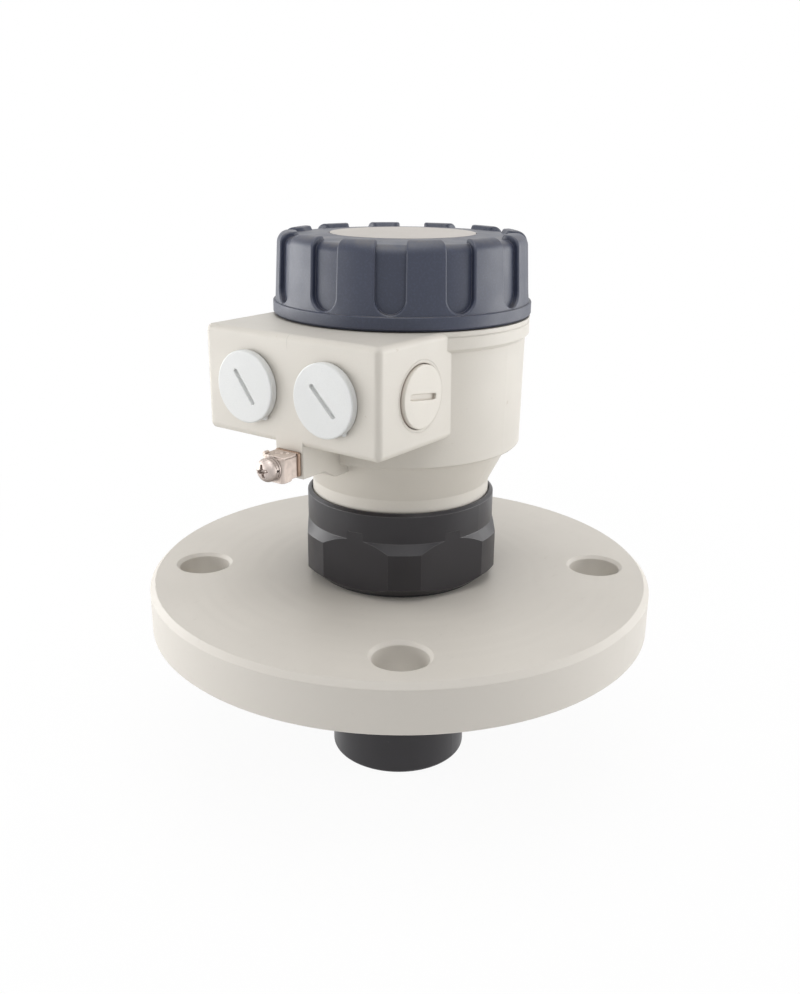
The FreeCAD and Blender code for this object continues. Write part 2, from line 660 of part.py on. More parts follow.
def make_board():
    body = new_body("circuit_board")
    outline = sketch_on(body, "XY_Plane", BOARD_LOW)
    circle(outline, "0", "0", BOARD_RADIUS)
    feature(body, "Pad", outline, Length="board_thick")
    hole = sketch_on(body, "XY_Plane", BOARD_LOW)
    circle(hole, *on_posts(0), "fixing_hole")
    drilled = cut(body, hole, Length="board_thick", Reversed=True)
    pattern(body, [drilled], "post_count")
    screws = []
    for i in range(int(value("post_count"))):
        across, along = on_posts(i)
        top = BOARD_TOP + " + seat_gap"
        shank = cylinder("fixing_shank_%d" % i, "fixing_radius - running_gap", "fixing_length",
                         across, along, "%s - fixing_length" % top)
        head = cylinder("fixing_head_%d" % i, "fixing_head", "fixing_head_high", across, along, top)
        screws.append(joined("fixing_%d" % i, [shank, head]))
    joined("carrier_screws", screws, "Part::Compound")


def make_terminals():
    """Screw terminal block with a wire entry and a clamping screw for each pole."""
    base = BOARD_TOP + " + solder_gap"
    body = new_body("terminal_block")
    plan = sketch_on(body, "XY_Plane", base)
    box_outline(plan, "-block_width / 2", "block_width / 2", "block_back", "block_back + block_deep")
    feature(body, "Pad", plan, Length="block_high")
    screws = []
    for i in range(int(value("pole_count"))):
        across = "(%d - (pole_count - 1) / 2) * pole_pitch" % i
        well = sketch_on(body, "XY_Plane", base + " + block_high")
        circle(well, across, "block_back + block_deep / 2", "pole_radius")
        cut(body, well, Length="pole_depth")
        mouth = sketch_on(body, "XZ_Plane", "-block_back")
        box_outline(mouth, across + " - entry_wide / 2", across + " + entry_wide / 2",
                    base + " + wall / 3", base + " + wall / 3 + entry_high")
        cut(body, mouth, Length="block_deep / 2")
        screws.append(cylinder("pole_screw_%d" % i, "pole_head", "pole_depth / 2", across,
                               "block_back + block_deep / 2",
                               base + " + block_high - pole_depth + seat_gap"))
    joined("terminal_screws", screws, "Part::Compound")


def make_components():
    base = BOARD_TOP + " + solder_gap"
    chip = block("chip", "chip_wide", "chip_wide", "chip_high", "-chip_wide / 2", "chip_back - wall",
                 base)
    cans = [cylinder("can_%d" % i, "can_radius", "can_high", "can_side",
                     "%d * (can_radius + wall / 2)" % side, base)
            for i, side in enumerate((-1, 1))]
    coil = block("coil", "coil_wide", "coil_wide", "coil_high", "coil_side - coil_wide / 2",
                 "-coil_wide / 2 + wall", base)
    joined("components", [chip, coil] + cans, "Part::Compound")


def check_and_write():
    for item in doc.Objects:
        if "Invalid" in item.State or "Error" in item.State:
            raise RuntimeError("%s failed: %s" % (item.Label, item.State))
    os.makedirs("parts", exist_ok=True)
    for label in NODES:
        shape = doc.getObjectsByLabel(label)[0].Shape
        if shape.isNull() or not shape.isValid() or not shape.Solids:
            raise RuntimeError(label + " has no valid solid")
        print("%-20s solids %d  volume %10.1f" % (label, len(shape.Solids), shape.Volume))
        shape.exportStep("parts/%s.step" % label)


NODES = (
    "flange", "process_gasket", "sensor_body", "matching_layer", "piezo_disc", "backing",
    "sensor_leads", "neck_oring", "retaining_ring", "housing", "lid", "lid_disc", "lid_oring",
    "plug_left", "plug_right", "seal_left", "seal_right", "conduit_plug_left",
    "conduit_plug_right", "earth_insert", "earth_saddle", "earth_washer", "earth_spring_washer",
    "earth_screw", "carrier", "carrier_screws", "circuit_board", "components", "terminal_block",
    "terminal_screws")

fill_sheet()
make_flange()
make_sensor_body()
make_transducer()
make_neck()
make_housing()
make_lid()
make_lid_trim()
make_front_plug("plug_left", -1, "-slot_left")
make_front_plug("plug_right", 1, "-slot_right")
make_side_plug("conduit_plug_left", -1)
make_side_plug("conduit_plug_right", 1)
make_earth_terminal()
make_carrier()
make_board()
make_terminals()
make_components()
doc.recompute()
check_and_write()
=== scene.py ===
import json
import math

import bmesh
import bpy
from mathutils import Matrix, Vector


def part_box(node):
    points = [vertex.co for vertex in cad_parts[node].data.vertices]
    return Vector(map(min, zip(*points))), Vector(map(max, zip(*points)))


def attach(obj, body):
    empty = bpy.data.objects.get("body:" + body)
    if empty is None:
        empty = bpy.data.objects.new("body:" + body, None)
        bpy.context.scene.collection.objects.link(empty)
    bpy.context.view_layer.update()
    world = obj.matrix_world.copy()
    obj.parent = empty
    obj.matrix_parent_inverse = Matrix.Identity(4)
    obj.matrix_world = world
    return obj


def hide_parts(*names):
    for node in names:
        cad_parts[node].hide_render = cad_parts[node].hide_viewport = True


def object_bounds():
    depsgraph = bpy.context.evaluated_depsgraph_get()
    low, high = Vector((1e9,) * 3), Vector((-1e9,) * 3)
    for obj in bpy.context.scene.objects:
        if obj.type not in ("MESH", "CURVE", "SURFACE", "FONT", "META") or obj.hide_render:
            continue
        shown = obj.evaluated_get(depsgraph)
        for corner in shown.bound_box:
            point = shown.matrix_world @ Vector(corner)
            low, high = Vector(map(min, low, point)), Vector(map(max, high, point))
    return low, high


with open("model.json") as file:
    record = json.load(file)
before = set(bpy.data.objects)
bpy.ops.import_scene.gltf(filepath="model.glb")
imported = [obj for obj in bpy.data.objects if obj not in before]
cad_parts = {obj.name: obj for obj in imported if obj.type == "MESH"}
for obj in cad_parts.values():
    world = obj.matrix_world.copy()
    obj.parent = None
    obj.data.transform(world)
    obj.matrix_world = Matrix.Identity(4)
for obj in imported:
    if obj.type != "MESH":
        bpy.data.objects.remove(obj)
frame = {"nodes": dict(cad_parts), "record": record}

# Ultrasonic level sensor on a flange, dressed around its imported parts.
# Metres, +Z up, origin at the centre of the flange's lower face, cable box towards -Y.

CAD_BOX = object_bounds()
MM = 0.001

# Camera, found from the photograph's ellipses and edges
VIEW_TURN = math.radians(35.8)
CAMERA_ACROSS = -0.136 * MM
CAMERA_BACK = 370.556 * MM
CAMERA_HIGH = 172.399 * MM
CAMERA_PITCH = math.radians(18.881)
CAMERA_ROLL = math.radians(0.533)
FOCAL_PIXELS = 1023.594
IMAGE_HEIGHT = 994
SENSOR = 36
CLIP_START = 0.01

# Lamps: turn from the camera and lift in degrees, distance and size in metres, power in watts
LAMPS = {
    "left_front": (-72, 2, 0.7, 0.34, 1.15),
    "left_side": (-105, 5, 0.7, 0.52, 3.4),
    "right_front": (82, 5, 0.7, 0.4, 1.6),
    "right_side": (105, 5, 0.7, 0.56, 2.0),
    "top": (0, 80, 1.2, 1.0, 5.9),
    "back": (180, 60, 1.2, 1.0, 1.6),
    "front": (0, 45, 1.2, 1.0, 2.9),
}
LAMP_AIM = Vector((0, 0, 0.06))
WORLD_LEVEL = 0.25

# The floor: half its side, how white the camera sees it by the object, and the distances between
# which that rises to all white
FLOOR_REACH = 3
FLOOR_WHITE = 0.93
FLOOR_NEAR, FLOOR_FAR = 120 * MM, 450 * MM


def body_of(node):
    """The body that a node moves with."""
    for body, members in frame["record"]["behaviour"]["bodies"].items():
        if node in members:
            return body


# Colours


def tone(red, green, blue):
    """A colour given as it shows on a screen, 0 to 255, as linear light."""
    def linear(part):
        part = part / 255
        return part / 12.92 if part <= 0.04045 else ((part + 0.055) / 1.055) ** 2.4
    return (linear(red), linear(green), linear(blue), 1)


FLANGE = tone(210, 205, 197)
HOUSING = tone(211, 206, 197)
SLATE = tone(45, 51, 70)
BLACK = tone(27, 24, 29)
WHITE = tone(218, 219, 218)
DISC = tone(200, 194, 188)
RUBBER = tone(28, 28, 30)
NICKEL = tone(194, 183, 177)
STEEL = tone(150, 150, 152)
BRASS = tone(200, 168, 106)
FOAM_GREY = tone(150, 154, 156)
CERAMIC = tone(206, 200, 186)
POTTING = tone(60, 62, 66)
LEAD_RED = tone(170, 40, 36)
TRAY = tone(96, 99, 104)
BOARD = tone(30, 92, 58)
CHIP = tone(34, 34, 37)
TERMINAL = tone(52, 138, 84)
SHEET_NICKEL = tone(206, 194, 186)
# partly a duller plate's own colour, partly painted shade for the plate seen edge-on in shadow
DULL_NICKEL_AND_SHADE = tone(168, 146, 130)
SPECK = tone(176, 164, 144)
DUST = tone(96, 92, 90)
# painted highlight for the slate cap's edges
SLATE_EDGE_HIGHLIGHT = tone(140, 140, 146)
# painted highlight for the black head's edges
BLACK_EDGE_HIGHLIGHT = tone(112, 108, 110)
SCRATCH = tone(92, 90, 92)
# painted shade for the white plugs' slots and corners
PLUG_PAINTED_SHADE = tone(176, 178, 182)
# painted shade, brownish, for the dark gap round the side plugs
GAP_PAINTED_SHADE = tone(168, 146, 132)
TRACK = tone(64, 134, 82)
PAPER = tone(246, 246, 246)
PAPER_SHADE = tone(243, 243, 243)


# Materials

# Where the mould seam shows: half its width, how far forward and how high up, each fading in
SEAM_HALF = (0.06 * MM, 0.25 * MM)
SEAM_REACH = (-56 * MM, -59 * MM)
SEAM_LEVEL = (111 * MM, 113.5 * MM)

BEVEL_SAMPLES = 6
HOLLOW_SAMPLES = 8
# How open a place is where it counts as a hollow, and where it no longer does
HOLLOW_LIMITS = (0.35, 0.9)
LEAST_ROUGHNESS = 0.05


class Surface:
    """A material under construction: a Principled shader and the nodes that feed it."""

    def __init__(self, name, colour, roughness, metallic=0.0, specular=0.5):
        self.material = bpy.data.materials.new(name)
        self.material.use_nodes = True
        self.tree = self.material.node_tree
        self.shader = self.tree.nodes["Principled BSDF"]
        self.shader.inputs["Metallic"].default_value = metallic
        self.shader.inputs["Roughness"].default_value = roughness
        self.shader.inputs["Specular IOR Level"].default_value = specular
        self.shader.inputs["Base Color"].default_value = colour
        self.colour = self.solid(colour)
        self.roughness = None
        self.base_roughness = roughness
        self.normal = None
        self.place = self.node("ShaderNodeTexCoord").outputs["Object"]

    def node(self, kind, **settings):
        """A new node with its settings."""
        made = self.tree.nodes.new(kind)
        for name, value in settings.items():
            setattr(made, name, value)
        return made

    def feed(self, node, **inputs):
        """Fills a node's inputs with links or values. An underscore stands for a space in a name."""
        for name, value in inputs.items():
            socket = node.inputs[name.replace("_", " ")]
            if isinstance(value, bpy.types.NodeSocket):
                self.tree.links.new(value, socket)
            else:
                socket.default_value = value
        return node

    def solid(self, colour):
        """One colour, as a node that the mixes can start from."""
        made = self.node("ShaderNodeRGB")
        made.outputs[0].default_value = colour
        return made.outputs[0]

    def maths(self, kind, *values):
        """One step of arithmetic on links or values."""
        made = self.node("ShaderNodeMath", operation=kind)
        for socket, value in zip(made.inputs, values):
            if isinstance(value, bpy.types.NodeSocket):
                self.tree.links.new(value, socket)
            else:
                socket.default_value = value
        return made.outputs[0]

    def stretched(self, across, along, up):
        """The object's coordinates, scaled by a factor on each axis."""
        made = self.node("ShaderNodeMapping")
        made.inputs["Scale"].default_value = (across, along, up)
        self.tree.links.new(self.place, made.inputs["Vector"])
        return made.outputs[0]

    def noise(self, size, detail=3.0, rough=0.5, place=None):
        """A noise whose features are about size metres across."""
        made = self.node("ShaderNodeTexNoise")
        self.feed(made, Scale=1 / size, Detail=detail, Roughness=rough,
                  Vector=self.place if place is None else place)
        return made.outputs["Fac"]

    def window(self, value, low, high):
        """0 below low, 1 above high, and smooth between."""
        made = self.node("ShaderNodeMapRange", interpolation_type="SMOOTHSTEP")
        self.feed(made, Value=value, From_Min=low, From_Max=high)
        return made.outputs[0]

    def tint(self, mask, colour, amount=1.0):
        """Moves the colour towards another one where the mask is high."""
        mix = self.node("ShaderNodeMix", data_type="RGBA")
        factor = self.maths("MULTIPLY", mask, amount)
        self.tree.links.new(factor, mix.inputs["Factor"])
        self.tree.links.new(self.colour, mix.inputs["A"])
        mix.inputs["B"].default_value = colour
        self.colour = mix.outputs["Result"]
        return self

    def shade(self, mask, amount):
        """Makes the surface rougher, or smoother with a negative amount, where the mask is high."""
        current = self.base_roughness if self.roughness is None else self.roughness
        self.roughness = self.maths("ADD", current, self.maths("MULTIPLY", mask, amount))
        return self

    def relief(self, height, depth):
        """Adds a bump from a height of 0 to 1, depth metres deep."""
        bump = self.node("ShaderNodeBump")
        self.feed(bump, Height=height, Distance=depth, Strength=1.0)
        if self.normal is not None:
            self.tree.links.new(self.normal, bump.inputs["Normal"])
        self.normal = bump.outputs[0]
        return self

    def soft_edges(self, radius):
        """Rounds the look of sharp edges."""
        made = self.node("ShaderNodeBevel", samples=BEVEL_SAMPLES)
        made.inputs["Radius"].default_value = radius
        if self.normal is not None:
            self.tree.links.new(self.normal, made.inputs["Normal"])
        self.normal = made.outputs[0]
        return self

    def edge_mask(self, radius, low=0.02, high=0.25):
        """High along edges, worked out from how far a rounded normal turns from the true one."""
        rounded = self.node("ShaderNodeBevel", samples=BEVEL_SAMPLES)
        rounded.inputs["Radius"].default_value = radius
        true = self.node("ShaderNodeNewGeometry").outputs["Normal"]
        dot = self.node("ShaderNodeVectorMath", operation="DOT_PRODUCT")
        self.tree.links.new(rounded.outputs[0], dot.inputs[0])
        self.tree.links.new(true, dot.inputs[1])
        turned = self.maths("SUBTRACT", 1.0, dot.outputs["Value"])
        return self.window(turned, low, high)

    def hollows(self, reach):
        """High in corners and recesses."""
        made = self.node("ShaderNodeAmbientOcclusion", samples=HOLLOW_SAMPLES)
        made.inputs["Distance"].default_value = reach
        return self.maths("SUBTRACT", 1.0, self.window(made.outputs["AO"], *HOLLOW_LIMITS))

    def distance_from_axis(self):
        """The level distance from the upright axis, in metres."""
        flat = self.node("ShaderNodeVectorMath", operation="MULTIPLY")
        flat.inputs[1].default_value = (1, 1, 0)
        self.tree.links.new(self.place, flat.inputs[0])
        length = self.node("ShaderNodeVectorMath", operation="LENGTH")
        self.tree.links.new(flat.outputs[0], length.inputs[0])
        return length.outputs["Value"]

    def upward(self):
        """1 on faces that look up, 0 on upright ones."""
        parts = self.node("ShaderNodeSeparateXYZ")
        self.tree.links.new(self.node("ShaderNodeNewGeometry").outputs["Normal"], parts.inputs[0])
        return self.window(parts.outputs["Z"], 0.3, 0.95)

    def done(self):
        """Links what was built up to the shader, and hands back the material."""
        self.tree.links.new(self.colour, self.shader.inputs["Base Color"])
        if self.roughness is not None:
            held_up = self.maths("MAXIMUM", self.roughness, LEAST_ROUGHNESS)
            self.tree.links.new(self.maths("MINIMUM", held_up, 1.0), self.shader.inputs["Roughness"])
        if self.normal is not None:
            self.tree.links.new(self.normal, self.shader.inputs["Normal"])
        return self.material


def lighter(colour, factor):
    """A colour times a factor, which darkens it where the factor is under 1."""
    return tuple(min(1, part * factor) for part in colour[:3]) + (1,)


def moulded(name, colour, roughness, grain, depth, edge, specular=0.5):
    """Moulded plastic: a fine grain, a slow change of tone, and softened edges."""
    made = Surface(name, colour, roughness, specular=specular)
    slow = made.noise(30 * MM, 2.0)
    fine = made.noise(grain, 4.0, 0.6)
    made.tint(made.window(slow, 0.35, 0.7), lighter(colour, 0.95))
    made.tint(made.window(fine, 0.4, 0.75), lighter(colour, 0.93), 0.5)
    made.shade(made.window(made.noise(9 * MM, 3.0), 0.3, 0.7), 0.07)
    made.soft_edges(edge)
    made.relief(fine, depth)
    return made


def flange_plastic():
    """Turned plastic plate: fine tool rings on the faces, slight scuffs, and a painted highlight along its
    edges.
    """
    made = Surface("flange_plastic", FLANGE, 0.5)
    reach = made.distance_from_axis()
    rings = made.node("ShaderNodeTexNoise", noise_dimensions="1D")
    made.feed(rings, W=reach, Scale=1 / (0.45 * MM), Detail=2.0, Roughness=0.6)
    broad = made.node("ShaderNodeTexNoise", noise_dimensions="1D")
    made.feed(broad, W=reach, Scale=1 / (7 * MM), Detail=1.0)
    slow = made.noise(45 * MM, 2.0)
    scuff = made.noise(2.2 * MM, 6.0, 0.7, made.stretched(1, 0.35, 1))
    made.tint(made.window(slow, 0.35, 0.7), lighter(FLANGE, 0.95))
    made.tint(made.window(broad.outputs["Fac"], 0.4, 0.7), lighter(FLANGE, 0.97))
    made.tint(made.window(scuff, 0.62, 0.75), lighter(FLANGE, 0.88), 0.6)
    # painted highlight: the flange's edges are lightened where light catches them
    made.tint(made.edge_mask(1.0 * MM), lighter(FLANGE, 1.12), 0.5)
    made.shade(made.window(scuff, 0.5, 0.7), 0.1)
    made.soft_edges(0.6 * MM)
    made.relief(rings.outputs["Fac"], 0.012 * MM)
    made.relief(made.noise(0.5 * MM, 3.0), 0.008 * MM)
    return made.done()


def mould_seam(made):
    """High on the hair line where the mould's halves met, over the box's front top edge."""
    parts = made.node("ShaderNodeSeparateXYZ")
    made.feed(parts, Vector=made.place)
    beside = made.window(made.maths("ABSOLUTE", parts.outputs["X"]), *SEAM_HALF)
    in_front = made.window(parts.outputs["Y"], *SEAM_REACH)
    high_up = made.window(parts.outputs["Z"], *SEAM_LEVEL)
    at_edge = made.maths("MULTIPLY", in_front, high_up)
    return made.maths("MULTIPLY", made.maths("SUBTRACT", 1.0, beside), at_edge)


def housing_plastic():
    """Pale moulded housing with faint marks, and painted shade in its corners and recesses."""
    made = moulded("housing_plastic", HOUSING, 0.42, 0.35 * MM, 0.006 * MM, 0.6 * MM)
    specks = made.noise(3.2 * MM, 5.0, 0.65)
    made.tint(made.window(specks, 0.68, 0.74), SPECK, 0.35)
    # painted shade: the housing is darkened in its corners and recesses, where shadow falls
    made.tint(made.hollows(4 * MM), lighter(HOUSING, 0.72), 0.22)
    seam = mould_seam(made)
    made.tint(seam, lighter(HOUSING, 0.78), 0.6)
    made.relief(seam, 0.05 * MM)
    return made.done()


def lid_plastic():
    """Dark slate cap: fine grain, greyer dust on the faces that look up, and pale painted highlights along
    its edges.
    """
    made = moulded("lid_plastic", SLATE, 0.4, 0.4 * MM, 0.03 * MM, 0.25 * MM, 0.62)
    dust = made.noise(6 * MM, 5.0, 0.6)
    made.tint(made.maths("MULTIPLY", made.upward(), made.window(dust, 0.3, 0.7)), DUST, 0.5)
    # painted highlight: pale lines along the cap's edges, such as its rib edges
    made.tint(made.edge_mask(0.3 * MM, 0.03, 0.2), SLATE_EDGE_HIGHLIGHT, 0.45)
    made.tint(made.window(made.noise(1.6 * MM, 3.0), 0.66, 0.72), lighter(SLATE, 0.8), 0.4)
    made.tint(made.window(made.noise(0.7 * MM, 2.0), 0.5, 0.62), lighter(SLATE, 1.4), 0.4)
    return made.done()


def head_plastic():
    """Black glass filled plastic of the sensor head, turned and faintly scratched, with a painted highlight
    along its edges.
    """
    made = moulded("head_plastic", BLACK, 0.34, 0.3 * MM, 0.012 * MM, 0.3 * MM)
    turning = made.noise(0.5 * MM, 2.0, 0.5, made.stretched(0.02, 0.02, 1))
    made.relief(turning, 0.006 * MM)
    # painted highlight: thin pale lines along the head's edges
    made.tint(made.edge_mask(0.3 * MM, 0.006, 0.03), BLACK_EDGE_HIGHLIGHT, 0.4)
    scratch = made.noise(1.5 * MM, 6.0, 0.75, made.stretched(0.3, 1, 1.6))
    made.tint(made.window(scratch, 0.66, 0.72), SCRATCH, 0.4)
    return made.done()


def plug_plastic():
    """White moulded plastic, with painted shade in its slot and round its edges."""
    made = moulded("plug_plastic", WHITE, 0.38, 0.5 * MM, 0.005 * MM, 0.35 * MM)
    # painted shade: grey in the slot and corners, where shadow falls
    made.tint(made.hollows(1.2 * MM), PLUG_PAINTED_SHADE, 0.2)
    return made.done()


def conduit_plastic():
    """The paler plastic of the side plugs, with a brown line of painted shade in the gap round them."""
    made = moulded("conduit_plastic", lighter(HOUSING, 1.06), 0.4, 0.4 * MM, 0.005 * MM, 0.2 * MM)
    # painted shade: the gap round the plug is darkened brown, where shadow falls
    made.tint(made.hollows(0.9 * MM), GAP_PAINTED_SHADE, 0.7)
    return made.done()


# How a metal's scratches are drawn out: a factor under 1 makes them longer on that axis
STREAKS_UP = (1, 1, 0.15)
STREAKS_FORWARD = (1, 0.2, 1)
STREAKS_TURNED = (1, 0.15, 1)


def metal(name, colour, roughness, streaked):
    """Plated or bright metal with fine scratches and painted shade in its hollows."""
    made = Surface(name, colour, roughness, metallic=1.0)
    streaks = made.noise(0.35 * MM, 3.0, 0.6, made.stretched(*streaked))
    patches = made.noise(2.4 * MM, 4.0)
    made.tint(made.window(patches, 0.4, 0.75), lighter(colour, 0.82))
    # painted shade: the metal is darkened in its hollows, where shadow falls
    made.tint(made.hollows(0.8 * MM), lighter(colour, 0.45), 0.7)
    made.shade(made.window(streaks, 0.3, 0.7), 0.18)
    made.soft_edges(0.15 * MM)
    made.relief(streaks, 0.004 * MM)
    return made.done()


def simple(name, colour, roughness, grain=0.6 * MM, depth=0.01 * MM):
    """A moulded look with nothing more, for small and hidden pieces."""
    return moulded(name, colour, roughness, grain, depth, 0.15 * MM).done()


def board_lacquer():
    """Green board with darker tracks under its lacquer."""
    made = Surface("board_lacquer", BOARD, 0.3)
    tracks = made.node("ShaderNodeTexBrick")
    made.feed(tracks, Scale=1 / (9 * MM), Mortar_Size=0.06, Mortar_Smooth=0.1, Vector=made.place)
    made.tint(tracks.outputs["Fac"], TRACK, 0.8)
    made.tint(made.window(made.noise(12 * MM, 2.0), 0.4, 0.7), lighter(BOARD, 0.8))
    made.relief(tracks.outputs["Fac"], 0.03 * MM)
    return made.done()


MATERIALS = {
    "flange_beige": flange_plastic(),
    "housing_beige": housing_plastic(),
    "conduit_plastic": conduit_plastic(),
    "lid_slate": lid_plastic(),
    "head_black": head_plastic(),
    "plug_white": plug_plastic(),
    "disc_pale": simple("disc_film", DISC, 0.6, 1.2 * MM, 0.01 * MM),
    "seal_rubber": simple("seal_rubber", RUBBER, 0.6),
    "nickel": metal("nickel_plate", NICKEL, 0.44, STREAKS_UP),
    "sheet_nickel": metal("sheet_nickel", SHEET_NICKEL, 0.5, STREAKS_UP),
    "dull_nickel": metal("dull_nickel", DULL_NICKEL_AND_SHADE, 0.45, STREAKS_UP),
    "spring_steel": metal("spring_steel", STEEL, 0.35, STREAKS_FORWARD),
    "brass": metal("turned_brass", BRASS, 0.3, STREAKS_TURNED),
    "layer_grey": simple("foam_layer", FOAM_GREY, 0.7, 0.3 * MM, 0.03 * MM),
    "ceramic": simple("silvered_ceramic", CERAMIC, 0.4),
    "potting": simple("potting_resin", POTTING, 0.35, 2 * MM, 0.05 * MM),
    "lead_red": simple("lead_sleeve", LEAD_RED, 0.4),
    "tray_grey": simple("tray_plastic", TRAY, 0.5),
    "board_green": board_lacquer(),
    "component_black": simple("component_case", CHIP, 0.45),
    "terminal_green": simple("terminal_plastic", TERMINAL, 0.4),
}


def dress_nodes():
    """Gives each node the material of its slot in the record."""
    for row in frame["record"]["subparts"]:
        node = frame["nodes"][row["node"]]
        node.data.materials.clear()
        node.data.materials.append(MATERIALS[row["material_slot"]])


# Shapes, in millimetres until they are placed

SHARP_ANGLE = math.radians(32)
# The share of half a pitch that is flat on a thread's crest, and again in its root
THREAD_FLAT = 0.12


def held(share):
    """A number kept between 0 and 1."""
    return max(0, min(1, share))


def circle(radius, level, steps, reach=None):
    """A level ring of points. reach gives a radius for each angle where the ring isn't round."""
    ring = []
    for i in range(steps):
        angle = 2 * math.pi * i / steps
        out = radius if reach is None else reach(radius, level, angle)
        ring.append(Vector((out * math.cos(angle), out * math.sin(angle), level)))
    return ring


def rings(profile, steps):
    """Level rings through a profile of radii and levels."""
    return [circle(radius, level, steps) for radius, level in profile]


def stadium(half_length, half_width, level, steps):
    """A level loop with straight sides and round ends, its points evenly spaced."""
    straight = 2 * (half_length - half_width)
    bend = math.pi * half_width
    around = 2 * (straight + bend)
    loop = []
    for i in range(steps):
        walked = (around * i / steps + bend / 2 + around) % around
        half, walked = divmod(walked, straight + bend)
        sign = 1 if half < 1 else -1
        if walked < bend:
            angle = walked / half_width - math.pi / 2
            point = (straight / 2 + half_width * math.cos(angle), half_width * math.sin(angle))
        else:
            point = (straight / 2 - (walked - bend), half_width)
        loop.append(Vector((sign * point[0], sign * point[1], level)))
    return loop


def turned_by(loops, degrees):
    """Loops turned about their own up axis."""
    turn = Matrix.Rotation(math.radians(degrees), 3, "Z")
    return [[turn @ point for point in loop] for loop in loops]


def screw_ridge(pitch, depth, low, high):
    """A radius that dips between the turns of a right hand thread and fades out at its ends."""
    def reach(radius, level, angle):
        turn = level / pitch - angle / (2 * math.pi)
        wave = abs(2 * (turn - math.floor(turn)) - 1)
        dip = held((wave - THREAD_FLAT) / (1 - 2 * THREAD_FLAT))
        ends = min(held((level - low) / pitch), held((high - level) / pitch))
        return radius - depth * (1 - ends * (1 - dip))
    return reach


def steps_between(low, high, step):
    """Even steps from one number to another, of about the length given."""
    count = max(1, round(abs(high - low) / step))
    return [low + (high - low) * i / count for i in range(count + 1)]


def skin(loops, cap_start=False, cap_end=False):
    """Joins loops of points one after another. A loop of one point closes the shape there."""
    points = [point for loop in loops for point in loop]
    faces, first = [], 0
    for loop, after in zip(loops, loops[1:]):
        second = first + len(loop)
        count = max(len(loop), len(after))
        for i in range(count):
            j = (i + 1) % count
            corners = [first + i % len(loop), first + j % len(loop),
                       second + j % len(after), second + i % len(after)]
            faces.append(list(dict.fromkeys(corners)))
        first = second
    if cap_start:
        faces.append(list(range(len(loops[0])))[::-1])
    if cap_end:
        faces.append(list(range(first, len(points))))
    return points, faces


def joined(*shapes):
    """Several shapes as one."""
    points, faces = [], []
    for more, joins in shapes:
        faces += [[len(points) + i for i in face] for face in joins]
        points += more
    return points, faces


def forward_of(across, reach, level):
    """Stands a shape on the box's front: its own up points forward and its second axis points up."""
    return Matrix(((MM, 0, 0, across), (0, 0, -MM, -reach), (0, MM, 0, level), (0, 0, 0, 1)))


def piece(name, shape, place, slot, body, nodes=(), material=None):
    """A finished mesh that rides on a body, in the frame's metres, and takes the place of nodes."""
    points, faces = shape
    mesh = bpy.data.meshes.new(name)
    mesh.from_pydata([place @ point for point in points], [], faces)
    work = bmesh.new()
    work.from_mesh(mesh)
    bmesh.ops.recalc_face_normals(work, faces=work.faces)
    work.to_mesh(mesh)
    work.free()
    mesh.shade_smooth()
    mesh.set_sharp_from_angle(angle=SHARP_ANGLE)
    mesh.materials.append(material or MATERIALS[slot])
    made = bpy.data.objects.new(name, mesh)
    bpy.context.scene.collection.objects.link(made)
    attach(made, body)
    if nodes:
        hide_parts(*nodes)


# Round plugs on the box front

# Each plug and how far its slot is turned, in degrees
FRONT_PLUGS = {"plug_left": -53.4, "plug_right": -45}
PLUG_HEAD = 12
PLUG_THICK = 2.8
PLUG_RIM = 0.5
PLUG_STEPS = 192
PLUG_UNDER = 0.25
PLUG_SEAL_RADIUS = 11.4
PLUG_SEAL_SEAT = 1.0
PLUG_SHANK = 9.95
PLUG_LENGTH = 8.5
PLUG_BORE = 7.6
PLUG_PITCH = 1.5
PLUG_RISE = 0.6
SLOT_HALF = (6.7, 0.78)
SLOT_DEPTH = 1.0
NIB_ANGLE = math.radians(-53)
NIB_HIGH, NIB_HALF = 0.75, 0.75
NIB_LEVELS = (1.3, 0.45)
THREAD_STEP = 0.15
FACE_MARGIN = 0.15


def rounded_rim(radius, top, rim, angles):
    """Loops over a rounded outer edge, after one just inside it that keeps the face flat."""
    profile = [(radius - rim - FACE_MARGIN, top)]
    for angle in map(math.radians, angles):
        profile.append((radius - rim + rim * math.cos(angle), top - rim + rim * math.sin(angle)))
    return rings(profile, PLUG_STEPS)


def nib_at(centre):
    """A round rim with a small nib where the moulding was cut from its runner."""
    def reach(radius, level, angle):
        off = (angle - centre + math.pi) % (2 * math.pi) - math.pi
        return radius + NIB_HIGH * math.exp(-(off * radius / NIB_HALF) ** 4)
    return reach


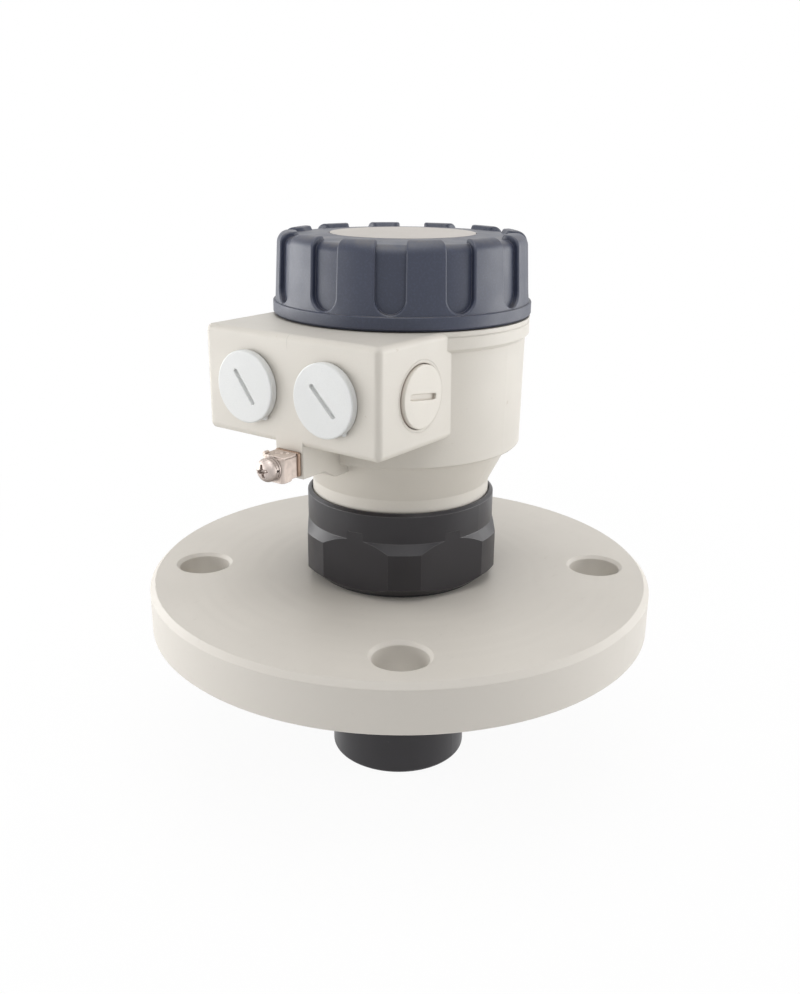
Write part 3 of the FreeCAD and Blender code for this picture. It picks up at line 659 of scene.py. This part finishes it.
def front_plug(name, slot_turn):
    """A plug with a slot, a rim with a nib, a seat for its seal, and a hollow threaded shank."""
    top = PLUG_THICK
    floor = top - SLOT_DEPTH
    slot = [(-0.25, floor), (0, floor + 0.25), (0, top - 0.18), (0.05, top - 0.06), (0.16, top), (0.3, top)]
    loops = [stadium(SLOT_HALF[0] + grow, SLOT_HALF[1] + grow, level, PLUG_STEPS) for grow, level in slot]
    loops += rounded_rim(PLUG_HEAD, top, PLUG_RIM, (90, 70, 50, 30, 12, 0))
    loops += [circle(PLUG_HEAD, 1.5, PLUG_STEPS)]
    with_nib = nib_at(NIB_ANGLE - math.radians(slot_turn))
    loops += [circle(PLUG_HEAD, level, PLUG_STEPS, with_nib) for level in NIB_LEVELS]
    loops += rings([(PLUG_HEAD - 0.2, PLUG_UNDER), (PLUG_SEAL_RADIUS, PLUG_UNDER),
                    (PLUG_SEAL_RADIUS, PLUG_SEAL_SEAT), (PLUG_SHANK - 0.5, PLUG_SEAL_SEAT),
                    (PLUG_SHANK - 0.5, 0)], PLUG_STEPS)
    end = -PLUG_LENGTH
    ridge = screw_ridge(PLUG_PITCH, PLUG_RISE, end + 0.4, -0.4)
    loops += [circle(PLUG_SHANK, level, PLUG_STEPS, ridge)
              for level in steps_between(-0.2, end + 0.4, THREAD_STEP)]
    loops += rings([(PLUG_SHANK - 1, end), (PLUG_BORE + 0.2, end), (PLUG_BORE, end + 0.3),
                    (PLUG_BORE, -0.3), (PLUG_BORE - 0.3, 0)], PLUG_STEPS)
    loops += [[Vector((0, 0, 0))]]
    low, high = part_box(name)
    place = forward_of((low[0] + high[0]) / 2, -low[1] - PLUG_THICK * MM, (low[2] + high[2]) / 2)
    shape = skin(turned_by(loops, slot_turn), cap_start=True)
    piece(name + "_cap", shape, place, "plug_white", body_of(name), [name])


# Slotted plugs in the box sides

# Each plug and the side it faces
SIDE_PLUGS = {"conduit_plug_left": -1, "conduit_plug_right": 1}
SIDE_HEAD = 10.3
SIDE_RIM = 0.35
SIDE_PROUD = 1.2
SIDE_SEAT = -1.4
SIDE_RING = (10.58, 11.63)
RIM_PROUD = 0.012
SIDE_SLOT = (7.1, 1.05)
SIDE_SLOT_POWER = 7
SIDE_SLOT_DEPTH = 1.2
SIDE_TURN = -7.7
SIDE_SHANK = 10
SIDE_LENGTH = 6.3
SIDE_BORE = 8
SIDE_BORE_DEPTH = 2.5
SIDE_PITCH = 1.5
SIDE_RISE = 0.6
BOX_DRAFT = 1 / 62


def box_slot(grow, level, angle):
    """A long slot with square ends and rounded corners, grown outwards by grow."""
    long_part = abs(math.cos(angle)) / (SIDE_SLOT[0] + grow)
    wide_part = abs(math.sin(angle)) / (SIDE_SLOT[1] + grow)
    return (long_part ** SIDE_SLOT_POWER + wide_part ** SIDE_SLOT_POWER) ** (-1 / SIDE_SLOT_POWER)


def side_plug(name, side):
    """A plug with a slot, and the edge of the box wall round it, which leaves a hair of a gap."""
    top, end = SIDE_PROUD, -SIDE_LENGTH
    floor = top - SIDE_SLOT_DEPTH
    slot = [(-0.2, floor), (0, floor + 0.2), (0, top - 0.2), (0.06, top - 0.06), (0.2, top), (0.35, top)]
    loops = [circle(grow, level, PLUG_STEPS, box_slot) for grow, level in slot]
    loops += rounded_rim(SIDE_HEAD, top, SIDE_RIM, (90, 65, 40, 15, 0))
    loops += [circle(SIDE_HEAD, SIDE_SEAT, PLUG_STEPS)]
    thread_top = SIDE_SEAT - 0.1
    ridge = screw_ridge(SIDE_PITCH, SIDE_RISE, end + 0.3, thread_top)
    loops += [circle(SIDE_HEAD, level, PLUG_STEPS, ridge)
              for level in steps_between(thread_top, end + 0.3, THREAD_STEP)]
    loops += rings([(SIDE_SHANK - 0.4, end), (SIDE_BORE, end), (SIDE_BORE, -SIDE_BORE_DEPTH)], PLUG_STEPS)
    loops += [[Vector((0, 0, -SIDE_BORE_DEPTH))]]
    low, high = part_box(name)
    face = (high[0] if side > 0 else -low[0]) - SIDE_PROUD * MM
    place = Matrix(((0, 0, side * MM, side * face), (side * MM, 0, 0, (low[1] + high[1]) / 2),
                    (0, MM, 0, (low[2] + high[2]) / 2), (0, 0, 0, 1)))
    shape = skin(turned_by(loops, side * SIDE_TURN), cap_start=True)
    piece(name + "_cap", shape, place, "housing_beige", "head", [name], MATERIALS["conduit_plastic"])
    inner, outer = SIDE_RING
    loops = rings([(inner, SIDE_SEAT), (inner, -0.12), (inner + 0.1, -0.02), (inner + 0.25, RIM_PROUD),
                   (outer, RIM_PROUD), (outer, SIDE_SEAT)], PLUG_STEPS)
    for loop in loops:
        for point in loop:
            point.z += side * point.x * BOX_DRAFT
    piece(name + "_rim", skin(loops + loops[:1]), place, "housing_beige", "head")


# Earth terminal on the lug

SHEET = 1.0
CLAMP_HALF = 4.4
CLAMP_BEND = 1.5
CLAMP_BACK = 1.35
CLAMP_STEP = 4.2
CLAMP_DIP = 0.75
BACK_HALF = 5.0
BACK_ROUND = 0.5
# How far the back plate stays above the clamp's bottom, rises over its top and stands off the lug
BACK_RAISED, BACK_OVER, BACK_OFF = 0.1, 0.15, 0.05
# The strip ends inside the top plate, this share of the sheet below its upper face
STRIP_UNDER = 0.6
STRIP_SOFT = 0.14
STRIP_STEP = 0.3
BEND_STEPS = 8
PLATE_SOFT, PLATE_ROUND = 0.12, 0.35
EAR_WIDE, EAR_ROOT, EAR_HIGH, EAR_BACK, EAR_FRONT = 1.1, 0.3, 0.75, 2.6, 0.4
# Pressed marks on the top plate: place across, reach forward, radius and rise
DIMPLES = ((0.2, 3.6, 0.75, 0.3), (2.1, 3.0, 0.6, 0.3), (-1.6, 4.1, 0.5, 0.2))
DIMPLE_STEPS = 24
SCREW_STEPS, SCREW_RINGS = 144, 44
SCREW_HEAD = 3.9
SCREW_HEAD_HIGH = 3.0
CROSS_REACH, CROSS_HALF, CROSS_TAPER, CROSS_DEPTH = 2.25, 0.62, 0.12, 1.9
CROSS_RISE = 0.35
CROSS_TURN = 12
SCREW_RADIUS = 2.0
SCREW_PITCH = 0.7
SCREW_RISE = 0.35
SCREW_THREAD_STEP = 0.08
# The dome: the height where it starts, and the powers that shape it
SCREW_SKIRT = 0.75
DOME_INNER, DOME_OUTER = 2.6, 0.62


def clamp_path(front):
    """Points and outward directions round the clamp's outer face, seen from above."""
    bend_back = front - CLAMP_BEND
    reaches = steps_between(CLAMP_BACK, bend_back, STRIP_STEP)
    path = [((-CLAMP_HALF, reach), (-1, 0)) for reach in reaches]
    for sign in (-1, 1):
        centre = (sign * (CLAMP_HALF - CLAMP_BEND), bend_back)
        for i in range(BEND_STEPS + 1):
            share = i / BEND_STEPS
            angle = math.pi - math.pi / 2 * share if sign < 0 else math.pi / 2 * (1 - share)
            away = (math.cos(angle), math.sin(angle))
            path.append(((centre[0] + CLAMP_BEND * away[0], centre[1] + CLAMP_BEND * away[1]), away))
    path += [((CLAMP_HALF, reach), (1, 0)) for reach in reaches[::-1]]
    return path


def clamp_wall(front, low, high):
    """The bent strip: sides and front in one sheet, lower at the front than at the back."""
    soft = STRIP_SOFT
    loops = []
    for (x, reach), (out_x, out_reach) in clamp_path(front):
        drop = held(reach - CLAMP_STEP + 0.5)
        bottom = low - CLAMP_DIP * math.sin(drop * math.pi / 2)
        section = [(0, bottom + soft), (0, high - soft), (soft, high), (SHEET - soft, high),
                   (SHEET, high - soft), (SHEET, bottom + soft), (SHEET - soft, bottom), (soft, bottom)]
        loops.append([Vector((x - out_x * inward, level, reach - out_reach * inward))
                      for inward, level in section])
    return skin(loops, cap_start=True, cap_end=True)


def soft_block(left, right, low, high, back, front, soft, round_by):
    """A plate with rounded corners and softened edges, back and front being its own up."""
    half = ((right - left) / 2, (high - low) / 2)
    centre = Vector(((left + right) / 2, (low + high) / 2, 0))

    def outline(inset, level):
        loop = []
        radius = round_by - inset * 0.5
        for quarter in range(4):
            for i in range(5):
                angle = math.pi / 2 * (quarter + i / 4)
                sign = Vector((1 if quarter in (0, 3) else -1, 1 if quarter < 2 else -1))
                loop.append(centre + Vector((sign.x * (half[0] - inset - radius) + radius * math.cos(angle),
                                             sign.y * (half[1] - inset - radius) + radius * math.sin(angle),
                                             level)))
        return loop
    levels = [(soft, back), (0, back + soft), (0, front - soft), (soft, front)]
    return skin([outline(inset, level) for inset, level in levels], cap_start=True, cap_end=True)


def dimple(across, level, reach, radius, rise):
    """A small pressed dome on a level face."""
    profile = ((radius, -0.05), (radius * 0.8, rise * 0.6), (radius * 0.45, rise))
    loops = [[Vector((across + point.x, level + point.z, reach + point.y)) for point in ring]
             for ring in rings(profile, DIMPLE_STEPS)]
    return skin(loops + [[Vector((across, level + rise * 1.08, reach))]])


def level_plate(low, high, top, thick):
    """The clamp's top plate, level, between two reaches."""
    points, faces = soft_block(-CLAMP_HALF, CLAMP_HALF, -high, -low, top - thick, top,
                               PLATE_SOFT, PLATE_ROUND)
    return [Vector((p.x, p.z, -p.y)) for p in points], faces


def earth_clamp():
    """The bent clamp with its top plate, marks and ear, and the plate behind it, whose darker colour is
    partly its own duller finish and partly painted shade.
    """
    low, high = [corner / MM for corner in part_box("earth_saddle")]
    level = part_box("earth_screw")
    middle_level = (level[0][2] + level[1][2]) / 2 / MM
    back, front = -high[1], -low[1]
    bottom, top = low[2] - middle_level, high[2] - middle_level
    place = forward_of(0, back * MM, middle_level * MM)
    depth = front - back
    ear = soft_block(-CLAMP_HALF, -CLAMP_HALF + EAR_WIDE, top - EAR_ROOT, top + EAR_HIGH,
                     depth - EAR_BACK, depth - EAR_FRONT, PLATE_SOFT, PLATE_ROUND)
    shapes = [clamp_wall(depth, bottom, top - SHEET * STRIP_UNDER),
              level_plate(CLAMP_BACK, depth - PLATE_ROUND, top, SHEET),
              *[dimple(across, top, reach, radius, rise) for across, reach, radius, rise in DIMPLES], ear]
    piece("earth_clamp", joined(*shapes), place, "nickel", "clamp", ["earth_saddle"],
          MATERIALS["sheet_nickel"])
    plate = soft_block(-BACK_HALF, BACK_HALF, bottom + BACK_RAISED, top + BACK_OVER,
                       BACK_OFF, CLAMP_BACK, PLATE_SOFT, BACK_ROUND)
    # the back plate's darker colour is partly painted shade
    piece("earth_back_plate", plate, place, "nickel", "clamp", material=MATERIALS["dull_nickel"])


def cross_depth(x, y):
    """1 inside a cross shaped recess and 0 outside, with soft edges."""
    def arm(along, across):
        width = CROSS_HALF - CROSS_TAPER * abs(along)
        return min(held((CROSS_REACH - abs(along)) / 0.35), held((width - abs(across)) / 0.2 + 0.5))
    return max(arm(x, y), arm(y, x))


def earth_screw_head():
    """A domed screw with a cross recess and a threaded shank."""
    loops = [[Vector((0, 0, SCREW_HEAD_HIGH - CROSS_DEPTH))]]
    for k in range(1, SCREW_RINGS + 1):
        share = k / SCREW_RINGS
        radius = SCREW_HEAD * math.sin(share * math.pi / 2)
        fall = (1 - (radius / SCREW_HEAD) ** DOME_INNER) ** DOME_OUTER
        dome = SCREW_SKIRT + (SCREW_HEAD_HIGH - SCREW_SKIRT) * fall
        loop = circle(radius, dome, SCREW_STEPS)
        for point in loop:
            point.z = dome - cross_depth(point.x, point.y) * (CROSS_DEPTH - CROSS_RISE * radius)
        loops.append(loop)
    loops += rings([(SCREW_HEAD, 0.2), (SCREW_HEAD - 0.2, 0), (SCREW_RADIUS, 0)], SCREW_STEPS)
    low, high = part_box("earth_screw")
    end = -((high[1] - low[1]) / MM - SCREW_HEAD_HIGH)
    ridge = screw_ridge(SCREW_PITCH, SCREW_RISE, end + 0.3, -0.3)
    loops += [circle(SCREW_RADIUS, level, SCREW_STEPS, ridge)
              for level in steps_between(-0.1, end + 0.3, SCREW_THREAD_STEP)]
    loops += [circle(SCREW_RADIUS - 0.6, end, SCREW_STEPS), [Vector((0, 0, end))]]
    place = forward_of((low[0] + high[0]) / 2, -low[1] - SCREW_HEAD_HIGH * MM, (low[2] + high[2]) / 2)
    shape = skin(turned_by(loops, CROSS_TURN))
    piece("earth_screw_cross", shape, place, "nickel", "clamp_screw", ["earth_screw"])


# Threads: slot, the node that carries it, radius at the root, rise, pitch, lower end and upper end

THREADS = {
    "shank_thread": ("head_black", "sensor_body", 29.8, 0.62, 2.309, -21.4, -0.3),
    "mouth_thread": ("housing_beige", "housing", 40, 0.6, 3, 119.6, 128.2),
}
SLEEVE_STEPS = 240
STEPS_PER_TURN = 14
PLACE_UP = Matrix.Scale(MM, 4)


def thread_sleeve(name, slot, node, root, rise, pitch, low, high):
    """A helical ridge round an upright shank."""
    ridge = screw_ridge(pitch, rise, low, high)
    loops = [circle(root + 0.02, low - 0.05, SLEEVE_STEPS)]
    loops += [circle(root + rise, level, SLEEVE_STEPS, ridge)
              for level in steps_between(low, high, pitch / STEPS_PER_TURN)]
    loops += [circle(root + 0.02, high + 0.05, SLEEVE_STEPS)]
    piece(name, skin(loops), PLACE_UP, slot, body_of(node))


# Setting

WHITE_LIGHT = (1, 1, 1, 1)


def mix_shaders(tree, share, first, second, output):
    """Sends a mix of two shaders to an output: the second one where the share is high."""
    mix = tree.nodes.new("ShaderNodeMixShader")
    tree.links.new(share, mix.inputs[0])
    tree.links.new(first.outputs[0], mix.inputs[1])
    tree.links.new(second.outputs[0], mix.inputs[2])
    tree.links.new(mix.outputs[0], tree.nodes[output].inputs["Surface"])


def clear_ray(tree):
    """1 for rays that come straight from the camera, a reflection or a clear piece, and 0 for light."""
    path = tree.nodes.new("ShaderNodeLightPath")
    total = path.outputs["Is Camera Ray"]
    for name in ("Is Glossy Ray", "Is Transmission Ray"):
        add = tree.nodes.new("ShaderNodeMath")
        add.operation = "MAXIMUM"
        tree.links.new(total, add.inputs[0])
        tree.links.new(path.outputs[name], add.inputs[1])
        total = add.outputs[0]
    return total


def make_floor():
    """A pale floor under the lowest point. The camera and clear reflections see it as white."""
    level = CAD_BOX[0][2]
    mesh = bpy.data.meshes.new("floor")
    corners = [(-1, -1), (1, -1), (1, 1), (-1, 1)]
    mesh.from_pydata([(FLOOR_REACH * x, FLOOR_REACH * y, level) for x, y in corners], [], [(0, 1, 2, 3)])
    floor = bpy.data.objects.new("floor", mesh)
    bpy.context.scene.collection.objects.link(floor)
    made = Surface("floor_paper", PAPER, 0.9, specular=0.1)
    made.tint(made.noise(60 * MM, 2.0), PAPER_SHADE)
    made.done()
    glow = made.node("ShaderNodeEmission")
    made.feed(glow, Color=WHITE_LIGHT)
    far = made.window(made.distance_from_axis(), FLOOR_NEAR, FLOOR_FAR)
    white = made.maths("MULTIPLY_ADD", far, 1 - FLOOR_WHITE, FLOOR_WHITE)
    share = made.maths("MULTIPLY", clear_ray(made.tree), white)
    mix_shaders(made.tree, share, made.shader, glow, "Material Output")
    floor.data.materials.append(made.material)


def make_world(level):
    """Even white light all round, and a plain white background for the camera."""
    world = bpy.data.worlds.new("studio")
    bpy.context.scene.world = world
    world.use_nodes = True
    tree = world.node_tree
    soft = tree.nodes["Background"]
    soft.inputs["Color"].default_value = WHITE_LIGHT
    soft.inputs["Strength"].default_value = level
    white = tree.nodes.new("ShaderNodeBackground")
    white.inputs["Color"].default_value = WHITE_LIGHT
    white.inputs["Strength"].default_value = 1.0
    mix_shaders(tree, clear_ray(tree), soft, white, "World Output")


def make_softbox(name, turn, lift, distance, size, power):
    """A square lamp that looks at the object. turn is counted from the camera, towards its right."""
    data = bpy.data.lights.new(name, "AREA")
    data.shape = "SQUARE"
    data.size = size
    data.energy = power
    lamp = bpy.data.objects.new(name, data)
    bpy.context.scene.collection.objects.link(lamp)
    heading = VIEW_TURN + math.radians(turn)
    rise = math.radians(lift)
    across = Vector((math.sin(heading), -math.cos(heading), 0))
    away = across * math.cos(rise) + Vector((0, 0, math.sin(rise)))
    lamp.location = LAMP_AIM + away * distance
    lamp.rotation_euler = away.to_track_quat("Z", "Y").to_euler()


def make_camera():
    """The photograph's viewpoint, turned about the upright axis."""
    data = bpy.data.cameras.new("camera")
    data.sensor_width = SENSOR
    data.lens = FOCAL_PIXELS / IMAGE_HEIGHT * SENSOR
    data.clip_start = CLIP_START
    camera = bpy.data.objects.new("camera", data)
    bpy.context.scene.collection.objects.link(camera)
    pitch = Matrix.Rotation(math.pi / 2 - CAMERA_PITCH, 4, "X")
    roll = Matrix.Rotation(CAMERA_ROLL, 4, "Z")
    place = Matrix.Translation((CAMERA_ACROSS, -CAMERA_BACK, CAMERA_HIGH))
    camera.matrix_world = Matrix.Rotation(VIEW_TURN, 4, "Z") @ place @ pitch @ roll
    bpy.context.scene.camera = camera


dress_nodes()
for plug, slot_turn in FRONT_PLUGS.items():
    front_plug(plug, slot_turn)
for plug, side in SIDE_PLUGS.items():
    side_plug(plug, side)
earth_clamp()
earth_screw_head()
for thread, settings in THREADS.items():
    thread_sleeve(thread, *settings)
make_floor()
make_world(WORLD_LEVEL)
for lamp, settings in LAMPS.items():
    make_softbox(lamp, *settings)
make_camera()
bpy.context.scene.view_settings.view_transform = "Standard"
